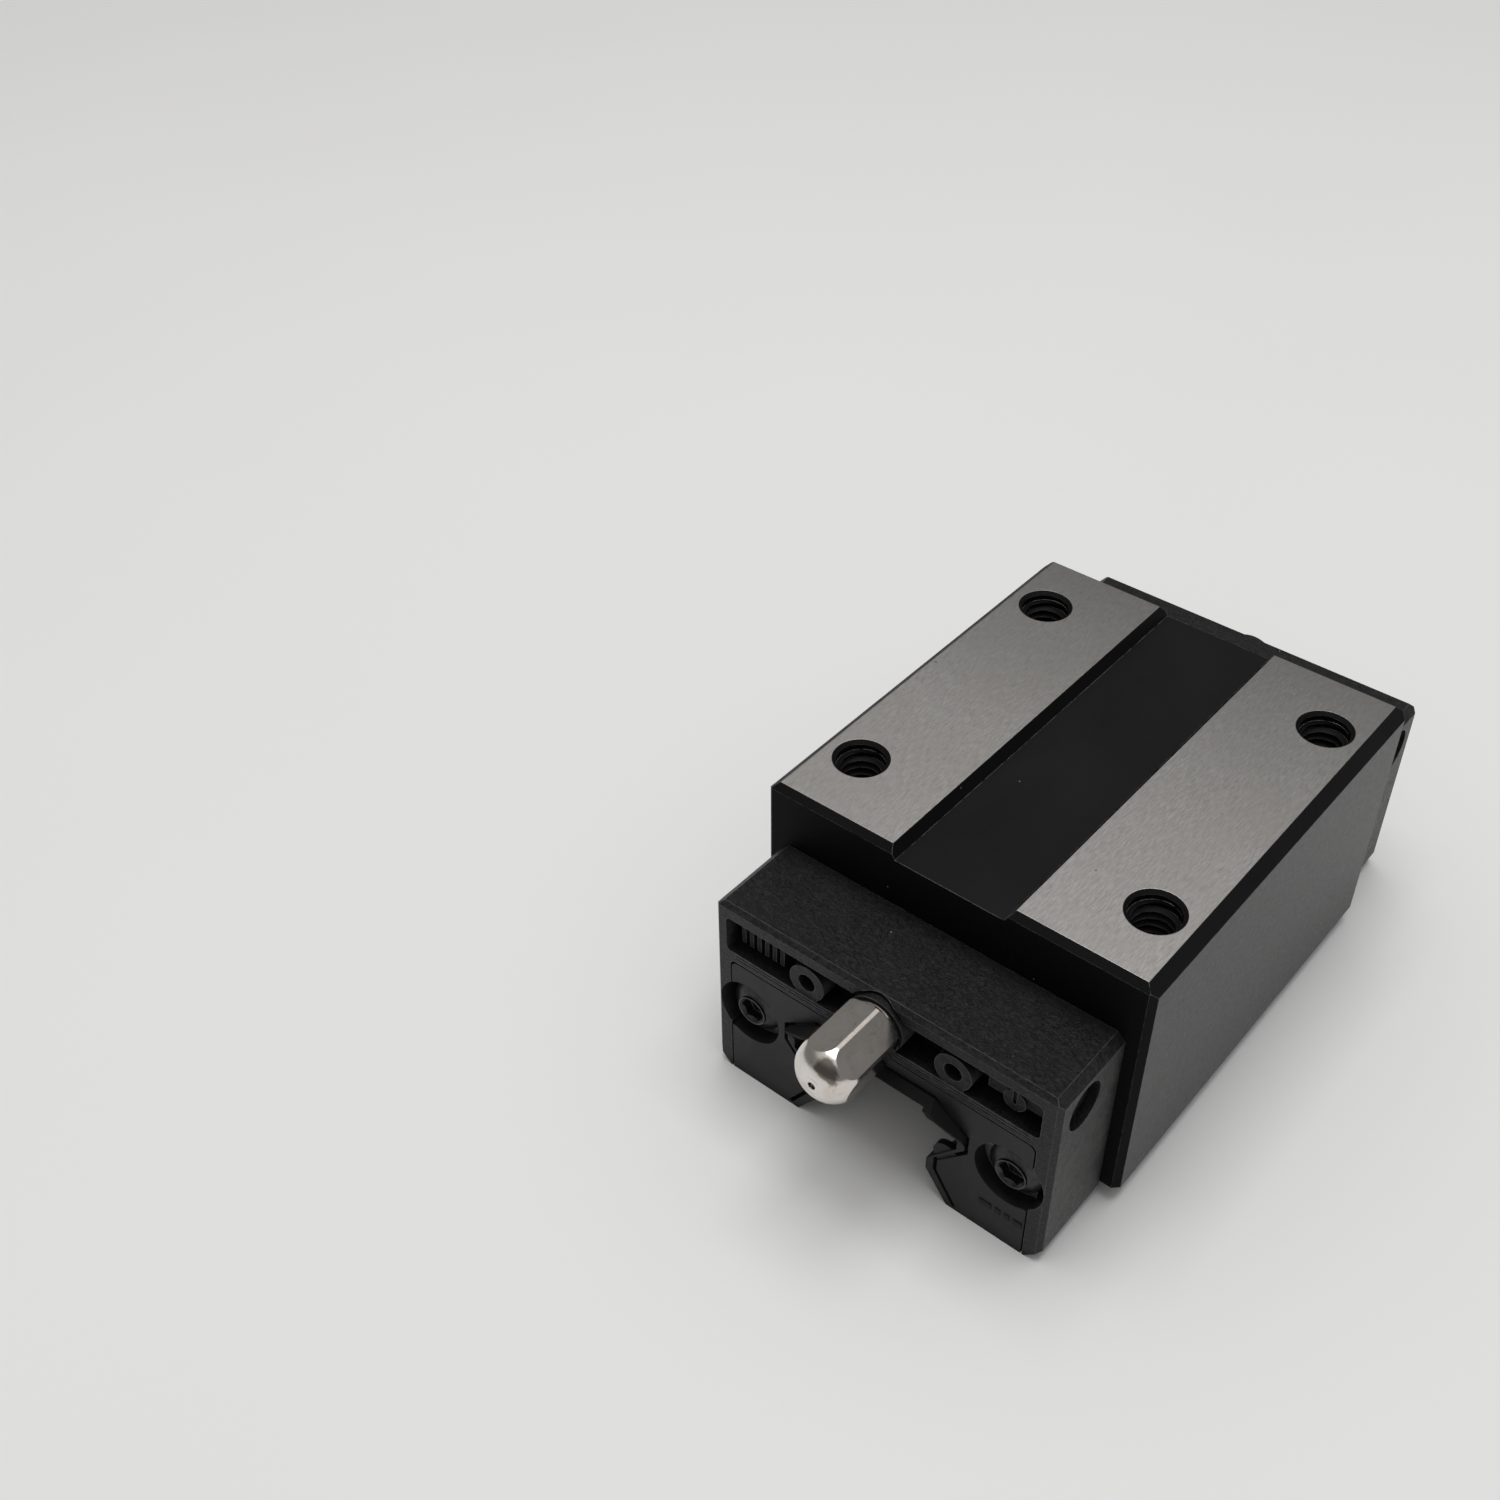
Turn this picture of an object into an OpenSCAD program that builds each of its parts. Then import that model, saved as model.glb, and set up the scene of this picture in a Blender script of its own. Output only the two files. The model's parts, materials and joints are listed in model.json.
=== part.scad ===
// Square-body linear guide carriage, size 15, with four recirculating ball circuits.
// +Z up, +X to the right seen from the nipple end, the nipple end faces -Y.
// The origin is the centre of the four mounting holes, in the plane of the ground top face.

/* [Carriage block] */
// Width across the two ground sides
block_w = 34; // [33:0.1:36]
// Length of the steel block
block_l = 39.3; // [38.6:0.1:39.6]
// Height of the steel block, top face to leg bottoms
block_h = 22.0; // [21.8:0.1:22.4]
// Chamfer along the two long top edges
edge_chamfer = 0.95; // [0.3:0.05:1.5]
// Chamfer along the top edge at each end
end_chamfer = 0.55; // [0.2:0.05:1]
// Chamfer down each vertical edge
corner_chamfer = 0.5; // [0.2:0.05:1]
// Width of the black relief groove in the top face, at its mouth
groove_w = 10.8; // [8:0.1:12]
// Depth of the relief groove
groove_depth = 1.0; // [0.4:0.1:1.4]

/* [Mounting holes] */
// Hole spacing across the carriage
hole_pitch_x = 26; // [24:0.5:27]
// Hole spacing along the carriage
hole_pitch_y = 26; // [20:0.5:30]
// Thread diameter of the mounting holes
hole_d = 4; // [3:0.5:4]
// Depth of the full thread
hole_depth = 6; // [4:0.5:6.5]
// Diameter of the countersunk mouth
hole_mouth_d = 4.6; // [4.2:0.1:5.4]

/* [End caps] */
// Overall length over both end caps, without the seal lips and the nipple
overall_l = 55.4; // [55.2:0.1:56]
// Width of an end cap
cap_w = 30.9; // [30.6:0.1:31.2]
// Height of the cap's top face below the mounting face
cap_top = 5.45; // [5:0.05:6]
// Height of the feet below the mounting face
cap_bottom = 23.7; // [23.5:0.1:24]
// Depth of the pocket in the cap's face
pocket_depth = 2.2; // [1:0.1:2.4]
// Diameter of the side lubrication ports
side_port_d = 4; // [3:0.1:4]
// Depth of the side lubrication ports
side_port_depth = 0.9; // [0.5:0.1:0.9]

/* [Rail passage] */
// Width of the guide rail
rail_w = 15; // [14.8:0.1:15.2]
// Depth of the rail's top face below the mounting face
rail_top = 13; // [12.9:0.1:13.2]
// Running gap between the rail and the steel block
rail_gap = 0.7; // [0.6:0.05:0.75]
// Clearance of the seal lips around the rail
lip_gap = 0.1; // [0.05:0.05:0.3]
// How far the seal lips stand out in front of the cap's face
lip_reach = 1.2; // [0.4:0.1:1.4]

/* [Balls] */
// Ball diameter
ball_d = 3.175; // [3:0.025:3.2]
// Radius of the turns at the ends of a circuit
turn_r = 3.22; // [3.2:0.01:3.3]
// Balls in each half turn
turn_balls = 3; // [3:1:3]
// Balls in each straight row
row_balls = 12; // [12:1:12]
// Tilt of the upper circuits, outwards and up from the loaded row
upper_tilt = 30; // [27:1:32]
// Tilt of the lower circuits, outwards and down from the loaded row
lower_tilt = -13; // [-14:1:-12]

/* [Fasteners and nipple] */
// Distance of each cap screw from the centre plane
screw_x = 12.1; // [11.9:0.1:12.3]
// Depth of the cap screws below the mounting face
screw_z = 16.0; // [15.8:0.1:16.2]
// Thread diameter of the cap screws
screw_d = 2.5; // [2:0.5:2.5]
// Head diameter of the cap screws
screw_head_d = 4.5; // [4:0.1:4.8]
// Depth of the nipple's axis below the mounting face
nipple_z = 8.2; // [8.1:0.1:8.5]
// How far the nipple stands out of the cap's face
nipple_reach = 7.6; // [5:0.1:8]
// Width of the nipple's hexagon across its corners
nipple_hex_d = 5.5; // [4.6:0.1:5.8]

/* [Hidden] */
sides = ["left", "right"];
levels = ["upper", "lower"];
ends = ["front", "rear"];

block_end = block_l / 2;
cap_face = overall_l / 2;
cap_half = cap_w / 2;
ball_r = ball_d / 2;
ball_pitch = PI * turn_r / turn_balls;
row_half = row_balls * ball_pitch / 2;
tube_r = ball_r + 0.06;
liner_r = tube_r + 0.35;
groove_r = ball_r + 0.04;
slip = 0.03;
eps = 0.01;

// Half outline of the guide rail, from the middle of its top face down its right side
rail_half = [
    [0, -rail_top],
    [rail_w / 2 - 2.5, -rail_top],
    [rail_w / 2, -rail_top - 2.2],
    [rail_w / 2, -rail_top - 3.6],
    [rail_w / 2 - 2.5, -rail_top - 6.7],
    [rail_w / 2 - 2.5, -rail_top - 7.9],
    [rail_w / 2, -rail_top - 11.3],
    [rail_w / 2, -rail_top - 15]
];
// Centres of the loaded ball rows, [distance from the centre plane, height]
upper_load = [rail_w / 2 - 0.95, -rail_top - 0.75];
lower_load = [rail_w / 2 - 0.8, -rail_top - 5.3];
// The shadow groove that sets the seal lip off from its plate
lip_groove = [
    [0, -12.45], [5.4, -12.45], [8.4, -14.6], [8.42, -16.35], [5.9, -19.2], [5.9, -20.4], [8.1, -23.7]
];
lip_groove_w = 0.34;
lip_groove_depth = 0.6;
// Tongues of the lip that wipe the ball grooves of the rail
tongue_r = 1.15;

seal_t = 1.4;
seal_half = 13.85;
seal_top = 11.3;
seal_gap = 0.14;
plate_t = 0.7;
guide_t = row_half - block_end;
guide_half = 1.75;
guide_r = turn_r - 0.35;
guide_bore_r = tube_r + 0.1;
guide_side = cap_half - 0.45;
guide_inner = 5.4;
guide_top = 8.2;
guide_bottom = 21.7;
grease_channel_half = 8.5;
grease_way_r = 0.9;

pocket_left = -14.35;
pocket_right = 14.05;
pocket_top = 6.75;
pocket_bottom = 10.2;
boss_x = 6.6;
boss_z = 8.8;
boss_r = 1.6;
boss_hole_r = 0.78;
port_y = 24.4;
port_z = 8.5;

screw_head_h = 1.15;
screw_bite = 6;
screw_recess_r = 2.95;
screw_socket_w = 1.9;
screw_clear_r = screw_d / 2 + 0.15;

nipple_tip = cap_face + nipple_reach;
nipple_r = nipple_hex_d / 2;
nipple_tip_r = 0.5;
nipple_neck_r = 2.2;
nipple_hex_turn = 16;
nipple_hex_start = cap_face + 0.7;
nipple_seat = cap_face + 0.3;
nipple_boss_r = 2.45;
arch_r = 2.7;
nipple_thread_r = 2;
nipple_thread_end = cap_face - 4.6;
nipple_bore_r = 0.75;
orifice_r = 0.32;
check_seat = nipple_tip - 0.85;
check_ball_r = 0.62;
check_ball_at = check_seat - sqrt(check_ball_r * check_ball_r - orifice_r * orifice_r) - slip;
spring_wire_r = 0.09;
spring_r = 0.5;
spring_turns = 6;

strip_end = row_half - slip;
bottom_seal_top = block_h + slip / 3;

$fn = 64;

// ---- circuit geometry ----

function load_of(level) = level == "upper" ? upper_load : lower_load;
function tilt_of(level) = level == "upper" ? upper_tilt : lower_tilt;
function along(level, d) = load_of(level) + d * [cos(tilt_of(level)), sin(tilt_of(level))];
function return_of(level) = along(level, 2 * turn_r);
function turn_centre(level) = along(level, turn_r);

// ---- outlines ----

function left_normal(a, b) = let(d = (b - a) / norm(b - a)) [-d[1], d[0]];
function mitre(p, a, b, gap) =
    let(n1 = left_normal(a, p), n2 = left_normal(p, b)) p + gap * (n1 + n2) / (1 + n1 * n2);
// A half outline moved outwards by gap, starting on the centre plane
function grown(half, gap) = [
    for (i = [0 : len(half) - 1])
        i == 0 ? half[0] + [0, gap]
        : i == len(half) - 1 ? half[i] + gap * left_normal(half[i - 1], half[i])
        : mitre(half[i], half[i - 1], half[i + 1], gap)
];
function mirrored(half) = concat(half, [for (i = [len(half) - 1 : -1 : 0]) [-half[i][0], half[i][1]]]);

module rail_outline(gap) polygon(mirrored(grown(rail_half, gap)));

module each_side() {
    for (flip = [0, 1]) mirror([flip, 0, 0]) children();
}

module side_of(side) {
    mirror([side == "left" ? 1 : 0, 0, 0]) children();
}

// Turns a front piece round to the rear
module end_of(end) {
    rotate([0, 0, end == "rear" ? 180 : 0]) children();
}

// Extrudes an outline drawn in [x, z] from y0 to y1
module along_y(y0, y1) {
    translate([0, y1, 0]) rotate([90, 0, 0]) linear_extrude(y1 - y0) children();
}

// Extrudes an outline drawn in [y, z] from x0 to x1
module along_x(x0, x1) {
    translate([x0, 0, 0]) rotate([90, 0, 90]) linear_extrude(x1 - x0) children();
}

module rod(x, z, r, y0, y1) {
    translate([x, y1, z]) rotate([90, 0, 0]) cylinder(r = r, h = y1 - y0);
}

// A rod that narrows or widens towards the front
module taper(x, z, r_rear, r_front, y_front, y_rear) {
    translate([x, y_rear, z]) rotate([90, 0, 0]) cylinder(r1 = r_rear, r2 = r_front, h = y_rear - y_front);
}

module round_box(x0, x1, z0, z1, r) {
    square_w = x1 - x0;
    square_h = z1 - z0;
    translate([x0 + r, z0]) square([square_w - 2 * r, square_h]);
    translate([x0, z0 + r]) square([square_w, square_h - 2 * r]);
    for (x = [x0 + r, x1 - r], z = [z0 + r, z1 - r]) translate([x, z]) circle(r);
}

// ---- ball circuits ----

// Puts a turn's own frame in place: its x runs from the turn centre to the return row
module turn_frame(level) {
    c = turn_centre(level);
    translate([c[0], -row_half, c[1]]) rotate([0, -tilt_of(level), 0]) rotate([180, 0, 0]) children();
}

module turn_tube(level) {
    turn_frame(level) rotate_extrude(angle = 180) translate([turn_r, 0]) circle(tube_r);
}

// Half drum on the turn's axis that fills the inside of the turn
module turn_drum_pocket(level) {
    turn_frame(level) rotate_extrude(angle = 180)
        translate([0, -guide_half - slip]) square([guide_r + slip, 2 * (guide_half + slip)]);
}

// The half drum itself, with the groove that guides the balls round
module turn_drum(level) {
    difference() {
        turn_frame(level) rotate_extrude(angle = 180) difference() {
            translate([0, -guide_half]) square([guide_r, 2 * guide_half]);
            translate([turn_r, 0]) circle(tube_r);
        }
        along_y(-cap_face, -block_end) rail_outline(rail_gap);
    }
}

module row_bores(r, y0, y1) {
    for (level = levels) {
        rod(load_of(level)[0], load_of(level)[1], r, y0, y1);
        rod(return_of(level)[0], return_of(level)[1], r, y0, y1);
    }
}

module row_of_balls(x, z) {
    for (i = [0 : row_balls - 1])
        translate([x, (i + 0.5) * ball_pitch - row_half, z]) sphere(ball_r);
}

module load_balls(level, side) {
    color("gainsboro") side_of(side) row_of_balls(load_of(level)[0], load_of(level)[1]);
}

module return_balls(level, side) {
    color("gainsboro") side_of(side) row_of_balls(return_of(level)[0], return_of(level)[1]);
}

module turn_ball_set(level, side, end) {
    step = 180 / turn_balls;
    color("gainsboro") side_of(side) mirror([0, end == "rear" ? 1 : 0, 0]) turn_frame(level)
        for (i = [0 : turn_balls - 1])
            rotate([0, 0, (i + 0.5) * step]) translate([turn_r, 0, 0]) sphere(ball_r);
}

// ---- carriage block ----

module block_body() {
    intersection() {
        along_y(-block_end, block_end) polygon([
            [-block_w / 2, -block_h], [block_w / 2, -block_h],
            [block_w / 2, -edge_chamfer], [block_w / 2 - edge_chamfer, 0],
            [-block_w / 2 + edge_chamfer, 0], [-block_w / 2, -edge_chamfer]
        ]);
        along_x(-block_w, block_w) polygon([
            [-block_end, -block_h], [block_end, -block_h],
            [block_end, -end_chamfer], [block_end - end_chamfer, 0],
            [-block_end + end_chamfer, 0], [-block_end, -end_chamfer]
        ]);
        translate([0, 0, -block_h - 1]) linear_extrude(block_h + 2) corner_cut_plan();
    }
}

module corner_cut_plan() {
    x = block_w / 2;
    y = block_end;
    c = corner_chamfer;
    polygon([
        [x, y - c], [x - c, y], [-x + c, y], [-x, y - c],
        [-x, -y + c], [-x + c, -y], [x - c, -y], [x, -y + c]
    ]);
}

module relief_groove() {
    wall_run = groove_depth * 0.6;
    along_y(-block_end - 1, block_end + 1) polygon([
        [-groove_w / 2 - wall_run, groove_depth], [-groove_w / 2 + wall_run, -groove_depth],
        [groove_w / 2 - wall_run, -groove_depth], [groove_w / 2 + wall_run, groove_depth]
    ]);
}

module mounting_hole() {
    mouth_depth = (hole_mouth_d - hole_d) / 2;
    drill_tip = 0.8;
    translate([0, 0, -hole_depth]) cylinder(d = hole_d, h = hole_depth + 1);
    translate([0, 0, -mouth_depth]) cylinder(d1 = hole_d, d2 = hole_mouth_d, h = mouth_depth);
    translate([0, 0, -hole_depth - drill_tip]) cylinder(d1 = 0.4, d2 = hole_d - 0.6, h = drill_tip + eps);
}

module carriage_block() {
    tap_depth = screw_bite + 1;
    color("dimgray") difference() {
        block_body();
        relief_groove();
        along_y(-block_end - 1, block_end + 1) rail_outline(rail_gap);
        for (x = [-1, 1], y = [-1, 1])
            translate([x * hole_pitch_x / 2, y * hole_pitch_y / 2, 0]) mounting_hole();
        each_side() {
            for (level = levels) {
                rod(load_of(level)[0], load_of(level)[1], groove_r, -block_end - 1, block_end + 1);
                rod(return_of(level)[0], return_of(level)[1], liner_r + slip, -block_end - 1, block_end + 1);
            }
            rod(screw_x, -screw_z, screw_d / 2 + slip, -block_end - 1, -block_end + tap_depth);
            rod(screw_x, -screw_z, screw_d / 2 + slip, block_end - tap_depth, block_end + 1);
        }
    }
}

// ---- end caps ----

module cap_body() {
    top_chamfer = 0.7;
    foot_round = 1.3;
    face_edge = 0.4;
    intersection() {
        along_y(-cap_face, -block_end) polygon([
            [-cap_half, -cap_bottom + foot_round], [-cap_half + foot_round, -cap_bottom],
            [cap_half - foot_round, -cap_bottom], [cap_half, -cap_bottom + foot_round],
            [cap_half, -cap_top - top_chamfer], [cap_half - top_chamfer, -cap_top],
            [-cap_half + top_chamfer, -cap_top], [-cap_half, -cap_top - top_chamfer]
        ]);
        along_x(-cap_half, cap_half) polygon([
            [-cap_face, -cap_bottom], [-block_end, -cap_bottom], [-block_end, -cap_top],
            [-cap_face + face_edge, -cap_top], [-cap_face, -cap_top - face_edge]
        ]);
        translate([0, 0, -cap_bottom - 1]) linear_extrude(cap_bottom) polygon([
            [-cap_half, -block_end], [-cap_half, -cap_face + face_edge],
            [-cap_half + face_edge, -cap_face], [cap_half - face_edge, -cap_face],
            [cap_half, -cap_face + face_edge], [cap_half, -block_end]
        ]);
    }
}

module cap_pocket() {
    along_y(-cap_face - 1, -cap_face + pocket_depth)
        round_box(pocket_left, pocket_right, -pocket_bottom, -pocket_top, 0.45);
    // arch over the nipple's neck
    rod(0, -nipple_z, arch_r, -cap_face - 1, -cap_face + pocket_depth);
}

// What stands up inside the pocket: two hollow bosses, the nipple's boss, ribs and a bar
module pocket_fittings() {
    floor_y = -cap_face + pocket_depth + eps;
    boss_face = -cap_face + 0.1;
    web_w = 2;
    for (x = [-boss_x, boss_x]) difference() {
        union() {
            rod(x, -boss_z, boss_r, boss_face, floor_y);
            along_y(boss_face, floor_y) translate([x - web_w / 2, -pocket_bottom - eps]) square([web_w, 1]);
        }
        rod(x, -boss_z, boss_hole_r, boss_face - 1, floor_y - 0.3);
    }
    difference() {
        rod(0, -nipple_z, nipple_boss_r, -nipple_seat + slip, floor_y);
        rod(0, -nipple_z, nipple_thread_r + slip, -cap_face - 1, floor_y + 1);
    }
    pocket_ribs(-cap_face + 0.9, floor_y);
    pocket_bar(-cap_face + 0.9, floor_y);
}

module pocket_ribs(y0, y1) {
    rib_x = -13.5;
    rib_step = 0.75;
    rib_w = 0.4;
    rib_h = 2.2;
    for (i = [0 : 5]) along_y(y0, y1)
        translate([rib_x + i * rib_step, -pocket_bottom + 0.6]) square([rib_w, rib_h]);
}

// The bar hangs from the ceiling of the pocket, with a slit round bump on it
module pocket_bar(y0, y1) {
    bar_x = 9.1;
    bar_h = 2.2;
    bump_x = 11.4;
    bump_z = 8.7;
    bump_r = 0.95;
    slit_w = 0.3;
    along_y(y0, y1)
        translate([bar_x, -pocket_top - bar_h]) square([pocket_right - bar_x + eps, bar_h + eps]);
    difference() {
        rod(bump_x, -bump_z, bump_r, y0 - 0.2, y1);
        along_y(y0 - 1, y0 + 0.2)
            translate([bump_x - slit_w / 2, -bump_z - 0.3]) square([slit_w, 1.6]);
    }
}

module cap_face_cuts() {
    line_w = 0.12;
    line_depth = 0.15;
    line_half = seal_half - 0.4;
    // seat of the seal and of the steel plate behind it
    along_y(-cap_face - 1, -cap_face + seal_t + plate_t)
        seal_outline(seal_gap);
    // fine lines along the rib above the seal
    for (z = [pocket_bottom + 0.3, pocket_bottom + 0.58])
        along_y(-cap_face - 1, -cap_face + line_depth)
            translate([-line_half, -z]) square([2 * line_half, line_w]);
    each_side() {
        rod(screw_x, -screw_z, screw_recess_r, -cap_face - 1, -cap_face + seal_t + plate_t);
        rod(screw_x, -screw_z, screw_clear_r, -cap_face - 1, -block_end + 1);
        translate([cap_half - side_port_depth, -port_y, -port_z]) rotate([0, 90, 0])
            cylinder(d = side_port_d, h = side_port_depth + 1);
    }
}

module cap_back_cuts() {
    channel_w = 1.4;
    channel_depth = 0.6;
    each_side() {
        for (level = levels) {
            turn_tube(level);
            turn_drum_pocket(level);
        }
        row_bores(guide_bore_r, -row_half - slip, -block_end + 1);
        along_y(-row_half - slip, -block_end + 1) guide_plan(slip);
        // slots that hold the ends of the bottom seals
        along_y(-strip_end - slip, -block_end + 1) bottom_seal_outline(slip);
    }
    // grease way: from the nipple to a channel across the inner face
    rod(0, -nipple_z, nipple_thread_r + slip, -cap_face - 1, -nipple_thread_end + slip);
    rod(0, -nipple_z, grease_way_r, -cap_face - 1, -block_end + 1);
    along_y(-block_end - channel_depth, -block_end + 1)
        translate([-grease_channel_half, -nipple_z - channel_w / 2])
            square([2 * grease_channel_half, channel_w]);
}

module end_cap(end) {
    color([0.10, 0.10, 0.11]) end_of(end) {
        difference() {
            union() {
                difference() {
                    cap_body();
                    cap_pocket();
                }
                pocket_fittings();
            }
            cap_face_cuts();
            cap_back_cuts();
            along_y(-cap_face - 1, -block_end + 1) rail_outline(rail_gap);
        }
    }
}

// ---- turn guides ----

// Outline of a guide's base plate, right side
module guide_plan(gap) {
    difference() {
        translate([guide_inner - gap, -guide_bottom - gap])
            square([guide_side - guide_inner + 2 * gap, guide_bottom - guide_top + 2 * gap]);
        rail_outline(rail_gap + 0.35 - gap);
    }
}

module turn_guide(end, side) {
    flip_side = end == "rear" ? (side == "left" ? "right" : "left") : side;
    color("ivory") end_of(end) side_of(flip_side) {
        difference() {
            along_y(-row_half - eps, -block_end) guide_plan(0);
            row_bores(guide_bore_r, -cap_face, -block_end + 1);
            rod(screw_x, -screw_z, screw_clear_r, -cap_face, -block_end + 1);
        }
        for (level = levels) turn_drum(level);
    }
}

// ---- return liners ----

module return_liner(level, side) {
    c = return_of(level);
    color("ivory") side_of(side) difference() {
        rod(c[0], c[1], liner_r, -block_end, block_end);
        rod(c[0], c[1], tube_r, -block_end - 1, block_end + 1);
    }
}

// ---- ball retainers ----

module load_row_clearance() {
    for (level = levels) rod(load_of(level)[0], load_of(level)[1], tube_r, -cap_face, cap_face);
}

module upper_ball_retainer() {
    color("ivory") difference() {
        along_y(-strip_end, strip_end) translate([-5.25, -rail_top + 0.15]) square([10.5, 0.52]);
        each_side() load_row_clearance();
    }
}

module middle_ball_retainer(side) {
    color("ivory") side_of(side) difference() {
        along_y(-strip_end, strip_end)
            translate([rail_w / 2 + 0.12, -rail_top - 3.6]) square([rail_gap - 0.15, 1.4]);
        load_row_clearance();
    }
}

module lower_ball_retainer(side) {
    inner = rail_w / 2 - 2.5;
    color("ivory") side_of(side) difference() {
        along_y(-strip_end, strip_end)
            translate([inner + 0.12, -rail_top - 7.9]) square([rail_gap - 0.15, 1.5]);
        load_row_clearance();
    }
}

// ---- seals ----

module seal_outline(gap) {
    half = seal_half + gap;
    corner = 0.6;
    round_box(-half, half, -cap_bottom - 2, -seal_top + gap, corner);
}

// Outline of a bottom seal, right side: a flat strip with a lip that reaches for the rail's foot
module bottom_seal_outline(gap) {
    inner = 7.6;
    outer = 13;
    bottom = cap_bottom - 0.6;
    polygon([
        [inner - gap, -bottom_seal_top + gap], [outer + gap, -bottom_seal_top + gap],
        [outer + gap, -bottom - gap], [inner + 0.8 + gap, -bottom - gap],
        [inner - 0.3 - gap, -bottom - 0.4 - gap], [inner - 0.5 - gap, -bottom - 0.2 - gap]
    ]);
}

module bottom_seal(side) {
    color([0.09, 0.09, 0.09]) side_of(side) along_y(-strip_end, strip_end) bottom_seal_outline(0);
}

module groove_band() {
    half_w = lip_groove_w / 2;
    difference() {
        polygon(mirrored(grown(lip_groove, half_w)));
        polygon(mirrored(grown(lip_groove, -half_w)));
        translate([-20, -cap_bottom - 2]) square([40, 2.3]);
    }
}

// The rubber lip round the rail: it stands out furthest over the top of the rail
module seal_lip() {
    root = -cap_face + seal_t / 2;
    front = -cap_face - lip_reach;
    intersection() {
        along_y(front, root) difference() {
            polygon(mirrored(grown(lip_groove, -lip_groove_w / 2)));
            rail_outline(lip_gap);
        }
        along_x(-cap_half, cap_half) polygon([
            [root, -rail_top + 0.6], [-cap_face, -rail_top + 0.4], [front, -rail_top],
            [front, -rail_top - 0.4], [-cap_face, -rail_top - 2.8], [-cap_face, -cap_bottom],
            [root, -cap_bottom]
        ]);
    }
    each_side() for (level = levels)
        rod(load_of(level)[0], load_of(level)[1], tongue_r, -cap_face + 0.15, root);
}

module end_seal(end) {
    notch_x = 13.15;
    notch_z = 18.6;
    color([0.09, 0.09, 0.09]) end_of(end) difference() {
        union() {
            difference() {
                intersection() {
                    along_y(-cap_face, -cap_face + seal_t) seal_outline(0);
                    cap_body();
                }
                along_y(-cap_face - 1, cap_face) rail_outline(lip_gap);
                along_y(-cap_face - 1, -cap_face + lip_groove_depth) groove_band();
            }
            seal_lip();
        }
        each_side() {
            rod(screw_x, -screw_z, screw_recess_r, -cap_face - 1, 0);
            // notch beside the screw recess
            along_y(-cap_face - 1, 0) translate([notch_x, -notch_z]) square([2, 0.8]);
        }
    }
}

module seal_plate(end) {
    inset = 0.5;
    y0 = -cap_face + seal_t;
    color("slategray") end_of(end) difference() {
        intersection() {
            along_y(y0, y0 + plate_t) seal_outline(0);
            cap_body();
            translate([-cap_half, -cap_face, -cap_bottom + inset]) cube([cap_w, cap_face, cap_bottom]);
        }
        along_y(-cap_face, 0) rail_outline(rail_gap);
        each_side() rod(screw_x, -screw_z, screw_clear_r, -cap_face, 0);
    }
}

// ---- fasteners ----

module hex_socket(x, z, width, y0, y1) {
    translate([x, y1, z]) rotate([90, 0, 0]) cylinder(d = width / cos(30), h = y1 - y0, $fn = 6);
}

module cap_screw() {
    seat = -cap_face + seal_t;
    head_r = screw_head_d / 2;
    crown = 0.7;
    dome_r = (head_r * head_r + crown * crown) / (2 * crown);
    rim_r = screw_socket_w / 2 + 0.35;
    rim_top = seat - screw_head_h;
    rod(screw_x, -screw_z, screw_d / 2, seat - eps, -block_end + screw_bite);
    difference() {
        union() {
            translate([screw_x, seat, -screw_z]) rotate([90, 0, 0]) rotate_extrude() intersection() {
                square([head_r, screw_head_h]);
                translate([0, screw_head_h - dome_r]) circle(dome_r);
            }
            // raised rim round the socket
            rod(screw_x, -screw_z, rim_r, rim_top - 0.05, seat - 0.2);
        }
        hex_socket(screw_x, -screw_z, screw_socket_w, -cap_face - 1, seat - 0.2);
        taper(screw_x, -screw_z, rim_r - 0.35, rim_r - 0.08, rim_top - 0.05, rim_top + 0.25);
    }
}

module cap_screws(end) {
    color([0.13, 0.13, 0.14]) end_of(end) each_side() cap_screw();
}

module rear_port_plug() {
    plug_front = cap_face - 1.4;
    color([0.13, 0.13, 0.14]) end_of("rear") difference() {
        rod(0, -nipple_z, nipple_thread_r, -plug_front, -nipple_thread_end);
        hex_socket(0, -nipple_z, 2, -cap_face, -plug_front + 1.4);
    }
}

// ---- grease nipple ----

// Bottom of the rotate_extrude axis is the thread end; it is then laid along -Y
module on_nipple_axis() {
    translate([0, 0, -nipple_z]) rotate([90, 0, 0]) children();
}

module nipple_skin() {
    skin_r = nipple_r - 0.08;
    nose_r = skin_r - nipple_tip_r;
    rear_chamfer = 0.2;
    rotate_extrude() difference() {
        polygon([
            [0, nipple_thread_end], [nipple_thread_r - 0.3, nipple_thread_end],
            [nipple_thread_r, nipple_thread_end + 0.3], [nipple_thread_r, nipple_seat],
            [nipple_neck_r, nipple_seat], [nipple_neck_r, nipple_hex_start],
            [skin_r - 0.6 * rear_chamfer, nipple_hex_start], [skin_r, nipple_hex_start + rear_chamfer],
            [skin_r, nipple_tip], [0, nipple_tip]
        ]);
        translate([nipple_tip_r, nipple_tip - nose_r]) difference() {
            square(nose_r + 1);
            circle(nose_r);
        }
    }
}

module nipple_envelope() {
    translate([0, 0, nipple_hex_start]) rotate([0, 0, nipple_hex_turn])
        cylinder(r = nipple_r, h = nipple_tip - nipple_hex_start + 1, $fn = 6);
    cylinder(r = nipple_neck_r + 0.2, h = nipple_hex_start + eps);
}

module grease_nipple() {
    color("wheat") on_nipple_axis() difference() {
        intersection() {
            nipple_skin();
            nipple_envelope();
        }
        translate([0, 0, nipple_thread_end - 1])
            cylinder(r = nipple_bore_r, h = check_seat - nipple_thread_end + 1);
        translate([0, 0, check_seat - 0.1]) cylinder(r = orifice_r, h = 2);
    }
}

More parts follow.
